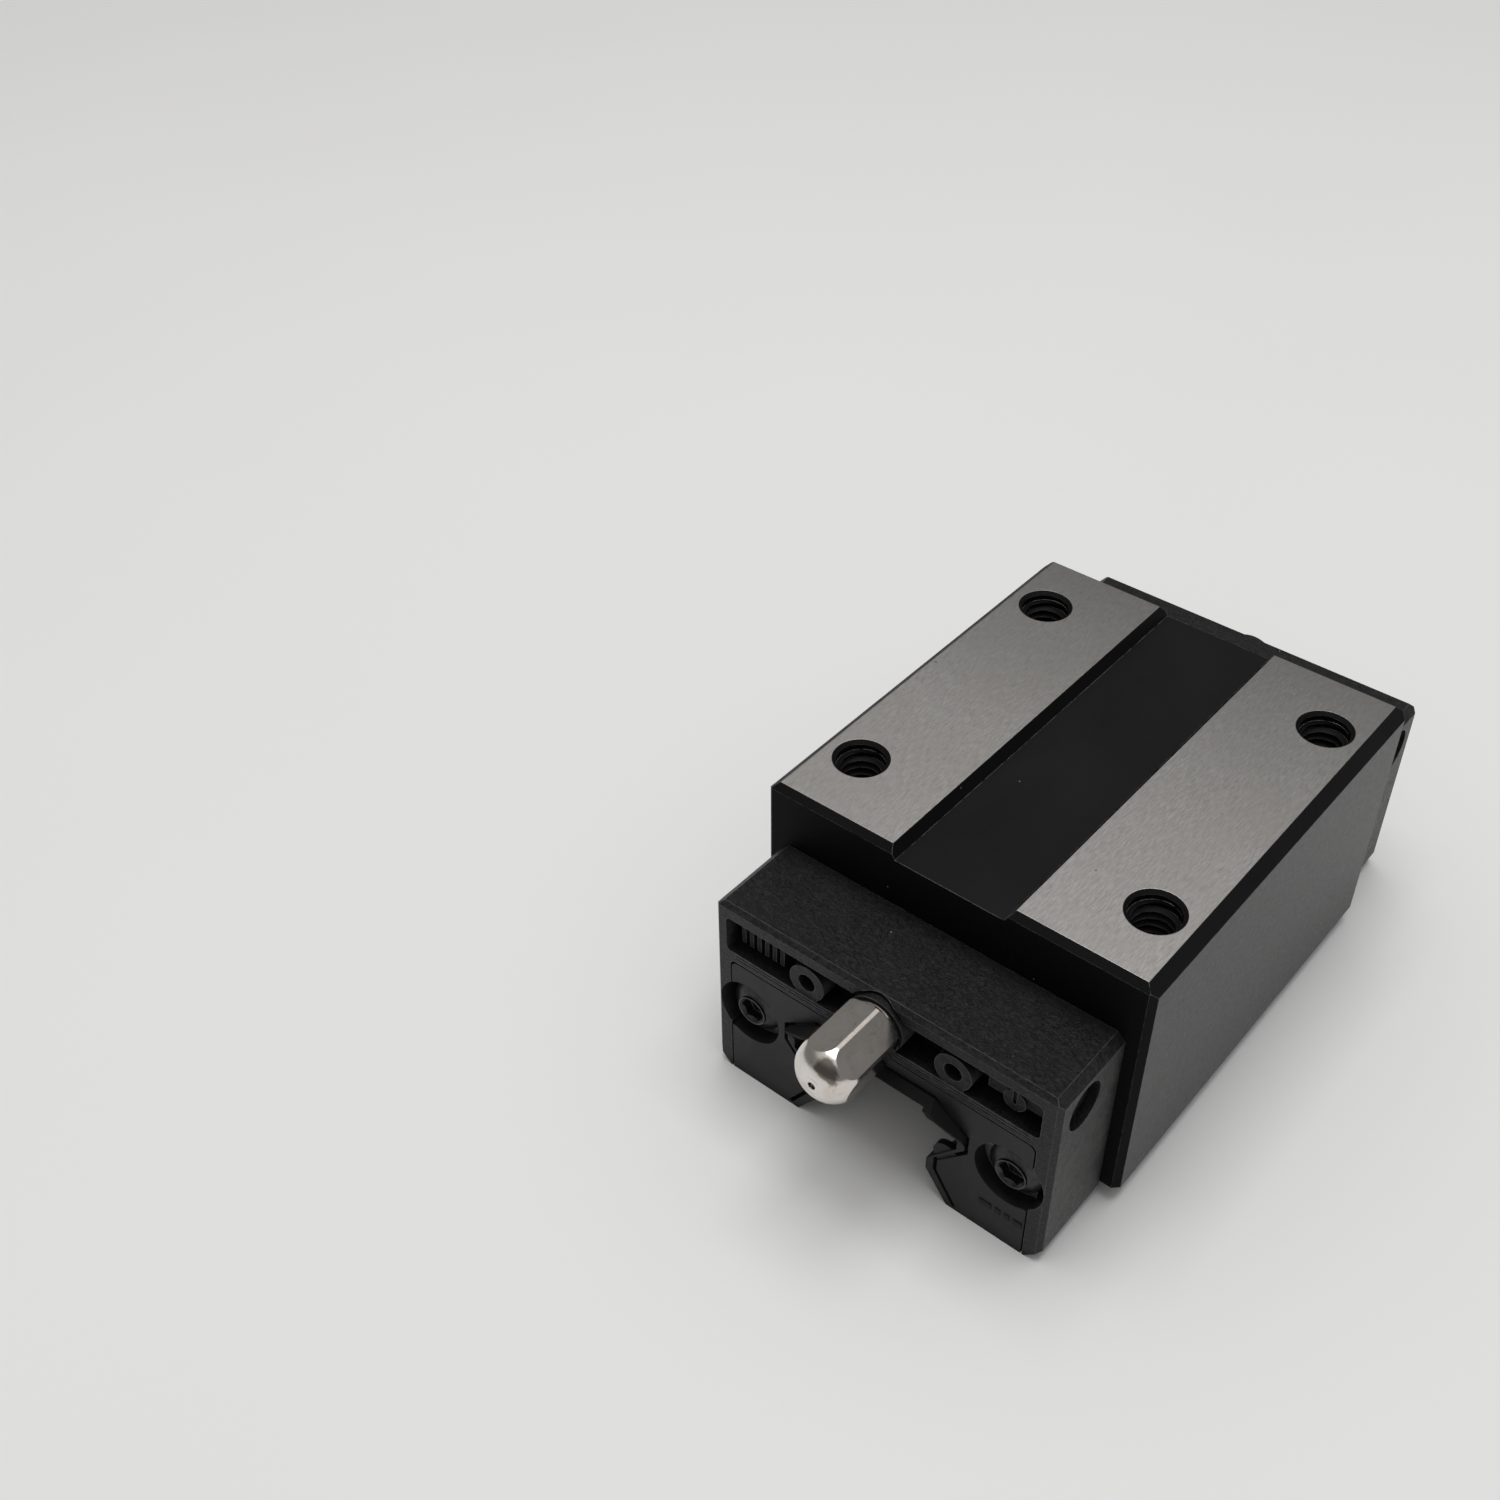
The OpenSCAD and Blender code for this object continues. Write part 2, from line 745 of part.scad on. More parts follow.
module nipple_check_ball() {
    color("gainsboro") on_nipple_axis() translate([0, 0, check_ball_at]) sphere(check_ball_r);
}

module nipple_check_spring() {
    bottom = nipple_thread_end + 0.6;
    top = check_ball_at - check_ball_r - 2 * slip;
    steps_per_turn = 16;
    wire_sides = 8;
    color("silver") on_nipple_axis() translate([0, 0, bottom])
        linear_extrude(top - bottom, twist = -360 * spring_turns, slices = steps_per_turn * spring_turns,
                       $fn = wire_sides)
            translate([spring_r, 0]) circle(1.4 * spring_wire_r, $fn = wire_sides);
}

carriage_block();
end_cap("front");  // front_end_cap
end_cap("rear");  // rear_end_cap
end_seal("front");  // front_end_seal
end_seal("rear");  // rear_end_seal
seal_plate("front");  // front_seal_plate
seal_plate("rear");  // rear_seal_plate
cap_screws("front");  // front_cap_screws
cap_screws("rear");  // rear_cap_screws
upper_ball_retainer();
grease_nipple();
nipple_check_ball();
nipple_check_spring();
rear_port_plug();
for (side = sides) {
    bottom_seal(side);
    middle_ball_retainer(side);
    lower_ball_retainer(side);
    for (end = ends)
        turn_guide(end, side);
    for (level = levels) {
        circuit = str(level, "_", side);
        return_liner(level, side);
        load_balls(level, side);
        return_balls(level, side);
        for (end = ends)
            turn_ball_set(level, side, end);
    }
}
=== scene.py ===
"""Looks for the linear guide carriage: camera, light, finishes and the fine moulded and cut detail.

Every length is in metres, unless a name ends in _mm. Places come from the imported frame.
"""

import json
import math

import bpy
from mathutils import Matrix, Vector


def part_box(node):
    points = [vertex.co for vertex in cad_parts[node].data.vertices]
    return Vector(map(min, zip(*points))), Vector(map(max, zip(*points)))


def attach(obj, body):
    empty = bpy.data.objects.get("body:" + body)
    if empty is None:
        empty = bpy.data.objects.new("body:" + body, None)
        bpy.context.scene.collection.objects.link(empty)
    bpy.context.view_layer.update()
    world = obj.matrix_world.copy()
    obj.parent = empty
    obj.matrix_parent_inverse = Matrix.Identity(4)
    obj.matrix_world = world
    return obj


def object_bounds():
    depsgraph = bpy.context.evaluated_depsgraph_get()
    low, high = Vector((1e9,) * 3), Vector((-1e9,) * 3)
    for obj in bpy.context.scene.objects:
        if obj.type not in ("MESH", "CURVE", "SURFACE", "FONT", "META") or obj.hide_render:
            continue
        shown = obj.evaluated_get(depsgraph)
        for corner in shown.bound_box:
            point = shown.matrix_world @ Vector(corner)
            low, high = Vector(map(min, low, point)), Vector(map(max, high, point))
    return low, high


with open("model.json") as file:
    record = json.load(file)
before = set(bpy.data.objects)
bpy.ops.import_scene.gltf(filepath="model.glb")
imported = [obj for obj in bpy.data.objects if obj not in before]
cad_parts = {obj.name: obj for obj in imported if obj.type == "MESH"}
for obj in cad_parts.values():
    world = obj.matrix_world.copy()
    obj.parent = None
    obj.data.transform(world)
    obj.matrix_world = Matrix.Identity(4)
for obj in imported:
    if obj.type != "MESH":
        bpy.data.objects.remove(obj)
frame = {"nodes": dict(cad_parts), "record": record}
cad_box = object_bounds()

MM = 0.001
record = frame["record"]
mounts = {mount["name"]: mount for mount in record["mounts"]}

# ---- camera ----

CAMERA_PLACE = Vector((48.95, -98.64, 90.47)) * MM
CAMERA_AZIMUTH = math.radians(40.55)
CAMERA_ELEVATION = math.radians(40.35)
CAMERA_ROLL = math.radians(-0.69)
CAMERA_LENS_MM = 43.06
NEAREST_SEEN = 5 * MM
FARTHEST_SEEN = 20


def make_camera():
    """The one camera, at the reference viewing angle."""
    a, e, r = CAMERA_AZIMUTH, CAMERA_ELEVATION, CAMERA_ROLL
    right = Vector((math.cos(a), math.sin(a), 0))
    back = Vector((math.sin(a) * math.cos(e), -math.cos(a) * math.cos(e), math.sin(e)))
    up = back.cross(right)
    x_axis = math.cos(r) * right + math.sin(r) * up
    y_axis = math.cos(r) * up - math.sin(r) * right
    turned = Matrix((x_axis, y_axis, back)).transposed().to_4x4()
    lens = bpy.data.cameras.new("camera")
    lens.lens = CAMERA_LENS_MM
    lens.clip_start = NEAREST_SEEN
    lens.clip_end = FARTHEST_SEEN
    camera = bpy.data.objects.new("camera", lens)
    camera.matrix_world = Matrix.Translation(CAMERA_PLACE) @ turned
    bpy.context.scene.collection.objects.link(camera)
    bpy.context.scene.camera = camera


# ---- procedural materials ----

SPECK_CORE = 0.6  # the share of a speck's radius that is solid
HOLLOW, OPEN = 0.3, 0.8  # ambient occlusion deep in a hollow and on an open surface
FLAT = 0.98  # a normal's share along an axis on a face square to it
SKIN_MM = 0.05  # how near a point lies to an outer face that it belongs to
TRACK_MARGIN_MM = 0.08  # a ball track's radius beyond the ball's

class Paint:
    """One procedural material. Its coordinates are millimetres in the object's own frame."""

    def __init__(self, name):
        self.material = bpy.data.materials.new(name)
        self.material.use_nodes = True
        self.tree = self.material.node_tree
        self.shader = self.tree.nodes["Principled BSDF"]
        self.coords = self.node("TexCoord")
        self.place = self.scaled(self.coords.outputs["Object"], (1 / MM, 1 / MM, 1 / MM))

    def node(self, kind, inputs=(), **settings):
        """Adds a node. inputs maps a socket to a value or to another node's output."""
        made = self.tree.nodes.new("ShaderNode" + kind)
        for key, value in settings.items():
            setattr(made, key, value)
        for key, value in dict(inputs).items():
            self.feed(made.inputs[key], value)
        return made

    def feed(self, socket, value):
        if isinstance(value, bpy.types.NodeSocket):
            self.tree.links.new(value, socket)
        else:
            socket.default_value = value

    def set(self, **values):
        """Sets the shader's sockets: base_color is Base Color, and so on."""
        for key, value in values.items():
            self.feed(self.shader.inputs[key.replace("_", " ").title().replace("Ior", "IOR")], value)

    def math(self, operation, *values):
        return self.node("Math", enumerate(values), operation=operation).outputs[0]

    def scaled(self, vector, factors):
        return self.node("VectorMath", {0: vector, 1: factors}, operation="MULTIPLY").outputs[0]

    def split(self, vector):
        return self.node("SeparateXYZ", {0: vector}).outputs

    def band(self, value, low, high, start=0.0, stop=1.0):
        """Maps value from low..high to start..stop, and holds it there outside."""
        levels = {"Value": value, "From Min": low, "From Max": high, "To Min": start, "To Max": stop}
        return self.node("MapRange", levels).outputs[0]

    def mix(self, factor, a, b):
        made = self.node("Mix", {0: factor, 6: a, 7: b}, data_type="RGBA")
        return made.outputs[2]

    def blend(self, factor, a, b):
        """Mixes two numbers."""
        return self.node("Mix", {0: factor, 2: a, 3: b}, data_type="FLOAT").outputs[0]

    def noise(self, per_mm, detail=2.0, rough=0.5, stretch=(1, 1, 1), wobble=0.0):
        """Cloudy noise from 0 to 1, with about per_mm blotches in a millimetre."""
        sockets = {
            "Vector": self.scaled(self.place, stretch),
            "Scale": per_mm,
            "Detail": detail,
            "Roughness": rough,
            "Distortion": wobble,
        }
        return self.node("TexNoise", sockets).outputs[0]

    def specks(self, spacing_mm, size, share):
        """Small round dots, 1 inside and 0 outside, in that share of the cells."""
        cells = self.node("TexVoronoi", {"Vector": self.place, "Scale": 1 / spacing_mm})
        chosen = self.math("GREATER_THAN", self.split(cells.outputs["Color"])[0], 1 - share)
        inside = self.band(cells.outputs["Distance"], size * SPECK_CORE, size, 1, 0)
        return self.math("MULTIPLY", chosen, inside)

    def rounding(self, radius_mm):
        """The surface's normal with its edges rounded off."""
        return self.node("Bevel", {"Radius": radius_mm * MM}, samples=6).outputs[0]

    def edge(self, rounded, low=0.02, high=0.2):
        """1 along the edges that rounded takes off, 0 on the flats."""
        normal = self.node("NewGeometry").outputs["Normal"]
        turn = self.node("VectorMath", {0: rounded, 1: normal}, operation="DOT_PRODUCT").outputs["Value"]
        return self.band(self.math("SUBTRACT", 1.0, turn), low, high)

    def open_sky(self, reach_mm=2.0):
        """1 on open surfaces, down to 0 deep in pockets, bores and gaps."""
        hollow = self.node("AmbientOcclusion", {"Distance": reach_mm * MM}, samples=6)
        return self.band(hollow.outputs["AO"], HOLLOW, OPEN)

    def relief(self, normal, *layers):
        """Bumps of (height, depth in mm), one on another, over that normal."""
        for height, depth_mm in layers:
            sockets = {"Height": height, "Distance": depth_mm * MM, "Normal": normal}
            normal = self.node("Bump", sockets).outputs[0]
        self.set(normal=normal)


def grey(level, warm=0.0):
    """A linear grey, with red lifted and blue lowered by warm."""
    return (level * (1 + warm), level, level * (1 - warm), 1)


def block_finish():
    """Black-oxided steel whose top strips, sides and ball tracks are ground bright."""
    paint = Paint("block_steel")
    low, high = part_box("carriage_block")
    x, y, z = paint.split(paint.place)
    nx, _, nz = paint.split(paint.coords.outputs["Normal"])
    across = paint.math("ABSOLUTE", x)
    on_top = paint.math(
        "MULTIPLY",
        paint.math("GREATER_THAN", nz, FLAT),
        paint.math("GREATER_THAN", z, high.z / MM - SKIN_MM),
    )
    on_side = paint.math(
        "MULTIPLY",
        paint.math("GREATER_THAN", paint.math("ABSOLUTE", nx), FLAT),
        paint.math("GREATER_THAN", across, high.x / MM - SKIN_MM),
    )
    ground = paint.math("MAXIMUM", on_top, on_side)
    for row in ("upper_right_load_balls", "lower_right_load_balls"):
        row_low, row_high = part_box(row)
        centre = (row_low + row_high) / 2 / MM
        reach_mm = (row_high.x - row_low.x) / 2 / MM + TRACK_MARGIN_MM
        dx = paint.math("SUBTRACT", across, centre.x)
        dz = paint.math("SUBTRACT", z, centre.z)
        squared = paint.math("ADD", paint.math("MULTIPLY", dx, dx), paint.math("MULTIPLY", dz, dz))
        apart = paint.math("SQRT", squared)
        ground = paint.math("MAXIMUM", ground, paint.math("LESS_THAN", apart, reach_mm))

    rounded = paint.rounding(0.09)
    # edges lighter: partly worn bare steel, partly a painted highlight
    worn_and_highlit = paint.math("MULTIPLY", paint.edge(rounded, 0.02, 0.2), paint.band(paint.noise(1.3, 4), 0.36, 0.55))
    clouds = paint.noise(0.11, 3)
    streaks = paint.noise(1.7, 3, 0.7, stretch=(4.5, 0.7, 4.5), wobble=0.6)
    fine = paint.noise(6, 2, 0.6, stretch=(2.0, 0.5, 2.0))
    pits = paint.specks(2.6, 0.045, 0.2)
    dust = paint.specks(1.3, 0.06, 0.1)

    # ground steel: streaked along the strips, with painted shade darkening it towards the rear and on the
    # sides
    top_low, top_high = grey(0.36, 0.03), grey(0.52, 0.03)
    top_cloud, top_rear_painted_shade = grey(0.40, 0.04), grey(0.2, 0.03)
    side_shade_low, side_shade_high, pit_tone = grey(0.03, 0.02), grey(0.075, 0.02), grey(0.06)
    rear_shade_start_mm, rear_shade_most = -4, 0.62
    speckle = paint.noise(2.4, 4, 0.7)
    side_painted_shade = paint.mix(paint.band(speckle, 0.35, 0.68), side_shade_low, side_shade_high)
    bright = paint.mix(paint.band(streaks, 0.3, 0.7), top_low, top_high)
    bright = paint.mix(paint.band(clouds, 0.35, 0.65, 0, 0.5), bright, top_cloud)
    bright = paint.mix(paint.band(y, rear_shade_start_mm, high.y / MM, 0, rear_shade_most), bright, top_rear_painted_shade)
    bright = paint.mix(on_side, bright, side_painted_shade)
    bright = paint.mix(paint.math("MULTIPLY", pits, 0.75), bright, pit_tone)

    # black oxide: lighter where it faces up, by painted shade on the steep faces, with dust, and edges
    # lightened partly by bare steel showing, partly by a painted highlight
    oxide_low, oxide_high, oxide_steep_shade = grey(0.004, -0.03), grey(0.008, -0.03), grey(0.001)
    dust_tone, bare_and_highlight_tone = grey(0.3), grey(0.3, 0.03)
    upward = paint.band(nz, 0.3, 0.9)
    dark = paint.mix(paint.band(clouds, 0.3, 0.7), oxide_low, oxide_high)
    dark = paint.mix(upward, oxide_steep_shade, dark)
    dark = paint.mix(paint.math("MULTIPLY", dust, 0.55), dark, dust_tone)
    dark = paint.mix(paint.math("MULTIPLY", worn_and_highlit, 0.8), dark, bare_and_highlight_tone)

    steep_roughness = 0.7
    rough_ground = paint.band(streaks, 0.2, 0.8, 0.34, 0.46)
    rough_oxide = paint.band(paint.noise(0.5, 4), 0.3, 0.7, 0.44, 0.56)
    rough_oxide = paint.blend(upward, steep_roughness, rough_oxide)
    paint.set(
        base_color=paint.mix(ground, dark, bright),
        metallic=paint.blend(ground, paint.math("MULTIPLY", worn_and_highlit, 0.5), 1.0),
        roughness=paint.blend(ground, rough_oxide, rough_ground),
        specular_ior_level=0.13,
    )
    grinding = paint.math("MULTIPLY", ground, streaks)
    grain = paint.math("MULTIPLY", paint.math("SUBTRACT", 1.0, ground), paint.noise(5, 3))
    paint.relief(rounded, (grinding, 0.008), (fine, 0.002), (grain, 0.02))
    return paint.material


def cap_finish():
    """Black moulded plastic with a leathery grain, edges lightened partly by scuffing and partly by a painted
    highlight, painted light on the side faces, painted shade deep in hollows, and a little dust.
    """
    paint = Paint("cap_plastic")
    rounded = paint.rounding(0.1)
    nx, _, nz = paint.split(paint.coords.outputs["Normal"])
    upward = paint.band(nz, 0.5, 0.9)
    sideways = paint.band(paint.math("ABSOLUTE", nx), 0.75, 0.95)
    sky = paint.open_sky()
    rim = paint.edge(rounded, 0.01, 0.12)
    # edges lightened partly by scuffing, partly by a painted highlight
    scuff_and_highlight = paint.math("MULTIPLY", rim, paint.band(paint.noise(1.7, 5, 0.7), 0.36, 0.58, 0.3, 1))
    grain = paint.noise(1.9, 5, 0.68, stretch=(1, 1.5, 1), wobble=1.4)
    clouds = paint.noise(0.16, 3)
    # noise for the painted light on the side faces
    side_light_noise = paint.noise(0.7, 5, 0.7)
    dust = paint.specks(1.5, 0.06, 0.14)
    gloss = paint.band(grain, 0.3, 0.7, 0.3, 0.5)
    grain_low, grain_high, cloud_tone = grey(0.001, -0.05), grey(0.016, -0.05), grey(0.013, -0.03)
    side_light_low, side_light_high = grey(0.035, 0.03), grey(0.08, 0.03)
    scuff_and_highlight_tone, dust_tone, hollow_painted_shade = grey(0.24), grey(0.5), grey(0.001)
    hollow_roughness, upward_roughness = 0.85, 0.06
    colour = paint.mix(paint.band(grain, 0.42, 0.6), grain_low, grain_high)
    colour = paint.mix(paint.band(clouds, 0.45, 0.7, 0, 0.5), colour, cloud_tone)
    painted_side_light = paint.mix(paint.band(side_light_noise, 0.35, 0.65), side_light_low, side_light_high)
    # painted light: the side faces are painted paler, as if lit from the side
    colour = paint.mix(paint.math("MULTIPLY", sideways, 0.85), colour, painted_side_light)
    colour = paint.mix(paint.math("MULTIPLY", scuff_and_highlight, 0.9), colour, scuff_and_highlight_tone)
    colour = paint.mix(dust, colour, dust_tone)
    open_roughness = paint.blend(upward, gloss, paint.math("ADD", gloss, upward_roughness))
    # painted shade: the colour goes near black deep in pockets, bores and gaps
    paint.set(
        base_color=paint.mix(sky, hollow_painted_shade, colour),
        roughness=paint.blend(sky, hollow_roughness, open_roughness),
        specular_ior_level=0.27,
    )
    paint.relief(rounded, (grain, 0.16), (paint.noise(9, 2), 0.006))
    return paint.material


COLLAR_REACH = 0.27 * MM  # how far the collar round the nipple stands out of the cap's face
LIP_FADE_MM = (0.02, 0.12)  # where the dull finish of the lips starts and is full, off that face


def cap_face_of(end):
    """The y of the flat outer face of that end's cap."""
    low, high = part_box(f"{end}_end_cap")
    return low.y + COLLAR_REACH if end == "front" else high.y - COLLAR_REACH


def rubber_finish():
    """Matt black nitrile, wiped smooth, with faint smears and a painted highlight along the edges."""
    paint = Paint("seal_rubber")
    rounded = paint.rounding(0.07)
    smears = paint.noise(0.3, 4, 0.6, wobble=0.8)
    dust = paint.specks(2.2, 0.04, 0.08)
    smear_low, smear_high, edge_highlight_tone = grey(0.004, -0.02), grey(0.009, -0.02), grey(0.045)
    dust_tone, lip_tone, dull_roughness = grey(0.3), grey(0.006), 0.8
    colour = paint.mix(paint.band(smears, 0.35, 0.7), smear_low, smear_high)
    # painted highlight along the edges
    colour = paint.mix(paint.math("MULTIPLY", paint.edge(rounded), 0.7), colour, edge_highlight_tone)
    colour = paint.mix(paint.math("MULTIPLY", dust, 0.5), colour, dust_tone)
    gloss = paint.band(smears, 0.3, 0.7, 0.36, 0.52)
    shut_in = paint.math("SUBTRACT", 1.0, paint.open_sky())
    # the lips stand proud of the cap's face and are duller
    face = cap_face_of("rear") / MM
    out = paint.math("ABSOLUTE", paint.split(paint.place)[1])
    proud = paint.band(out, face + LIP_FADE_MM[0], face + LIP_FADE_MM[1])
    paint.set(
        base_color=paint.mix(proud, colour, lip_tone),
        roughness=paint.blend(paint.math("MAXIMUM", proud, shut_in), gloss, dull_roughness),
        specular_ior_level=0.28,
    )
    paint.relief(rounded, (paint.noise(4.5, 3), 0.004))
    return paint.material


def screw_finish():
    """Black-oxided screw steel, lighter along its edges: part rubbed wear, part painted highlight."""
    paint = Paint("black_screw")
    rounded = paint.rounding(0.09)
    rim = paint.edge(rounded, 0.02, 0.25)
    wear = paint.noise(2.5, 4)
    colour = paint.mix(paint.band(wear, 0.35, 0.65), grey(0.035), grey(0.06))
    # edges lighter: partly rubbed wear, partly a painted highlight
    colour = paint.mix(paint.math("MULTIPLY", rim, 0.8), colour, grey(0.3, 0.02))
    paint.set(
        base_color=colour,
        metallic=0.85,
        roughness=paint.band(wear, 0.3, 0.7, 0.3, 0.42),
    )
    paint.relief(rounded, (paint.noise(6, 3), 0.006))
    return paint.material


DARK_REFLECTION_SIDE = Vector((0.35, -0.70, 0.62)).normalized()
DARK_REFLECTION_EDGE = (0.93, 0.965)  # how closely a normal lies to that side where the painted dark reflection starts and is full


def nickel_finish():
    """Warm nickel plate, polished, with brownish handling marks, fine scratches and a painted dark brown
    reflection on the faces that point up and forward.
    """
    paint = Paint("nickel")
    rounded = paint.rounding(0.09)
    smudge = paint.noise(0.55, 4, 0.6, wobble=0.6)
    scratch = paint.noise(3.2, 5, 0.75, stretch=(1, 0.35, 1.6), wobble=1.0)
    marks = paint.math("MULTIPLY", paint.band(scratch, 0.58, 0.68), paint.band(smudge, 0.45, 0.6))
    plate_tone, smudge_tone = grey(0.72, 0.05), grey(0.62, 0.08)
    mark_tone, reflection_brown = grey(0.2, 0.12), grey(0.13, 0.22)
    colour = paint.mix(paint.band(smudge, 0.35, 0.65), plate_tone, smudge_tone)
    colour = paint.mix(paint.math("MULTIPLY", marks, 0.8), colour, mark_tone)
    # painted reflection: a dark brown patch on the upper side of the nose, where the faces point up and
    # forward
    sides = {0: paint.coords.outputs["Normal"], 1: DARK_REFLECTION_SIDE}
    facing = paint.node("VectorMath", sides, operation="DOT_PRODUCT").outputs["Value"]
    ragged = paint.math("ADD", facing, paint.band(smudge, 0.3, 0.7, -0.05, 0.05))
    painted_reflection = paint.band(ragged, *DARK_REFLECTION_EDGE)
    colour = paint.mix(paint.math("MULTIPLY", painted_reflection, 0.85), colour, reflection_brown)
    paint.set(
        base_color=colour,
        metallic=1.0,
        roughness=paint.band(smudge, 0.3, 0.7, 0.12, 0.24),
    )
    paint.relief(rounded, (scratch, 0.004), (paint.noise(1.1, 2), 0.01))
    return paint.material


def plate_finish():
    """Phosphated sheet steel, sheared along its edges."""
    paint = Paint("plate_steel")
    rounded = paint.rounding(0.06)
    crystals = paint.node("TexVoronoi", {"Vector": paint.place, "Scale": 3.0}).outputs["Distance"]
    colour = paint.mix(paint.band(crystals, 0, 0.7), grey(0.16), grey(0.24))
    colour = paint.mix(paint.math("MULTIPLY", paint.edge(rounded), 0.7), colour, grey(0.5))
    paint.set(base_color=colour, metallic=0.8, roughness=paint.band(crystals, 0, 0.7, 0.36, 0.5))
    paint.relief(rounded, (crystals, 0.004))
    return paint.material


def ball_finish():
    """Polished bearing steel with a light film of oil."""
    paint = Paint("ball_steel")
    film = paint.noise(1.2, 3)
    paint.set(
        base_color=paint.mix(paint.band(film, 0.35, 0.65), grey(0.66), grey(0.74, 0.01)),
        metallic=1.0,
        roughness=paint.band(film, 0.3, 0.7, 0.05, 0.13),
        coat_weight=0.3,
        coat_roughness=0.08,
    )
    paint.relief(paint.node("NewGeometry").outputs["Normal"], (paint.noise(4, 2), 0.0006))
    return paint.material


def acetal_finish():
    """Natural acetal, off-white and slightly waxy, with faint flow marks."""
    paint = Paint("guide_plastic")
    rounded = paint.rounding(0.08)
    flow = paint.noise(0.4, 4, 0.55, stretch=(1, 0.3, 1), wobble=0.7)
    oil = paint.noise(0.9, 3)
    colour = paint.mix(paint.band(flow, 0.3, 0.7), grey(0.52, 0.05), grey(0.6, 0.04))
    colour = paint.mix(paint.band(oil, 0.55, 0.75, 0, 0.35), colour, grey(0.34, 0.14))
    paint.set(
        base_color=colour,
        roughness=paint.band(flow, 0.3, 0.7, 0.34, 0.5),
        subsurface_weight=0.15,
        subsurface_scale=0.6 * MM,
    )
    paint.relief(rounded, (paint.noise(3, 3), 0.004))
    return paint.material


FINISH_OF = {
    "carriage_block": block_finish,
    "end_cap": cap_finish,
    "seal": rubber_finish,
    "seal_plate": plate_finish,
    "cap_screws": screw_finish,
    "port_plug": screw_finish,
    "grease_nipple": nickel_finish,
    "check_ball": ball_finish,
    "check_spring": ball_finish,
    "balls": ball_finish,
    "ball_retainer": acetal_finish,
    "turn_guide": acetal_finish,
    "return_liner": acetal_finish,
}
made_finishes = {}


def finish_named(make):
    """Each finish is made once and shared."""
    if make not in made_finishes:
        made_finishes[make] = make()
    return made_finishes[make]


def dress_nodes():
    for name, node in frame["nodes"].items():
        ending = max((end for end in FINISH_OF if name.endswith(end)), key=len)
        for place in node.material_slots:
            place.material = finish_named(FINISH_OF[ending])


# ---- pieces made here ----


def add_piece(name, points, faces, body, finish, smooth=False):
    mesh = bpy.data.meshes.new(name)
    mesh.from_pydata(points, [], faces)
    mesh.validate()
    mesh.materials.append(finish_named(finish))
    for face in mesh.polygons:
        face.use_smooth = smooth
    piece = bpy.data.objects.new(name, mesh)
    bpy.context.scene.collection.objects.link(piece)
    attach(piece, body)
    return piece


def swept(sections):
    """Points and faces of a closed solid through rings of equally many points."""
    count = len(sections[0])
    points = [point for section in sections for point in section]
    faces = [tuple(range(count))]
    for k in range(len(sections) - 1):
        for i in range(count):
            j = (i + 1) % count
            faces.append((k * count + j, k * count + i, (k + 1) * count + i, (k + 1) * count + j))
    last = (len(sections) - 1) * count
    faces.append(tuple(last + i for i in reversed(range(count))))
    return points, faces


THREAD_PITCH = 0.7 * MM
THREAD_HEIGHT = 0.36 * MM
THREAD_STEPS = 48  # in one turn
THREAD_SPARE_TURNS = 0.7  # left out, so that the ridge ends inside the hole
THREAD_ROOT_HALF = 0.42 * THREAD_PITCH
THREAD_CREST_HALF = 0.07 * THREAD_PITCH
THREAD_SUNK = 0.01 * MM  # how deep the root lies in the wall
THREAD_RUN_OUT_TURNS = 0.5
THREAD_LEAST_SHARE = 0.05  # of the height, at the ridge's two ends
MOUNTING_THREAD_MOUTH = 0.5 * MM
MOUNTING_THREAD_DEPTH = 5.9 * MM
PORT_THREAD_MOUTH = 0.12 * MM


def add_thread(name, mouth, way_out, wall, depth, start, finish):
    """The helical ridge of a tapped hole, from start below its mouth to its bottom."""
    turns = (depth - start) / THREAD_PITCH - THREAD_SPARE_TURNS
    steps = int(turns * THREAD_STEPS)
    first = way_out.orthogonal().normalized()
    second = way_out.cross(first)
    sections = []
    for i in range(steps + 1):
        angle = 2 * math.pi * i / THREAD_STEPS
        down = start + THREAD_PITCH * (0.5 + i / THREAD_STEPS)
        share = min(1, min(i, steps - i) / THREAD_STEPS / THREAD_RUN_OUT_TURNS)
        crest = wall - THREAD_HEIGHT * max(share, THREAD_LEAST_SHARE)
        root = wall + THREAD_SUNK
        ring = (
            (root, THREAD_ROOT_HALF),
            (crest, THREAD_CREST_HALF),
            (crest, -THREAD_CREST_HALF),
            (root, -THREAD_ROOT_HALF),
        )
        out = math.cos(angle) * first + math.sin(angle) * second
        sections.append([mouth + out * r + way_out * (h - down) for r, h in ring])
    points, faces = swept(sections)
    add_piece(name, points, faces, "carriage", finish)


def add_mounting_threads():
    holes = mounts["mounting_holes"]
    half_x = holes["dims"]["spacing_x_mm"] / 2 * MM
    half_y = holes["dims"]["spacing_y_mm"] / 2 * MM
    wall = holes["dims"]["hole_r_mm"] * MM
    depth, start = MOUNTING_THREAD_DEPTH, MOUNTING_THREAD_MOUTH
    way_out = Vector((0, 0, 1))
    for end, y in (("front", -half_y), ("rear", half_y)):
        for side, x in (("left", -half_x), ("right", half_x)):
            name = f"mounting_thread_{end}_{side}"
            mouth = Vector(holes["pos_m"]) + Vector((x, y, 0))
            add_thread(name, mouth, way_out, wall, depth, start, block_finish)


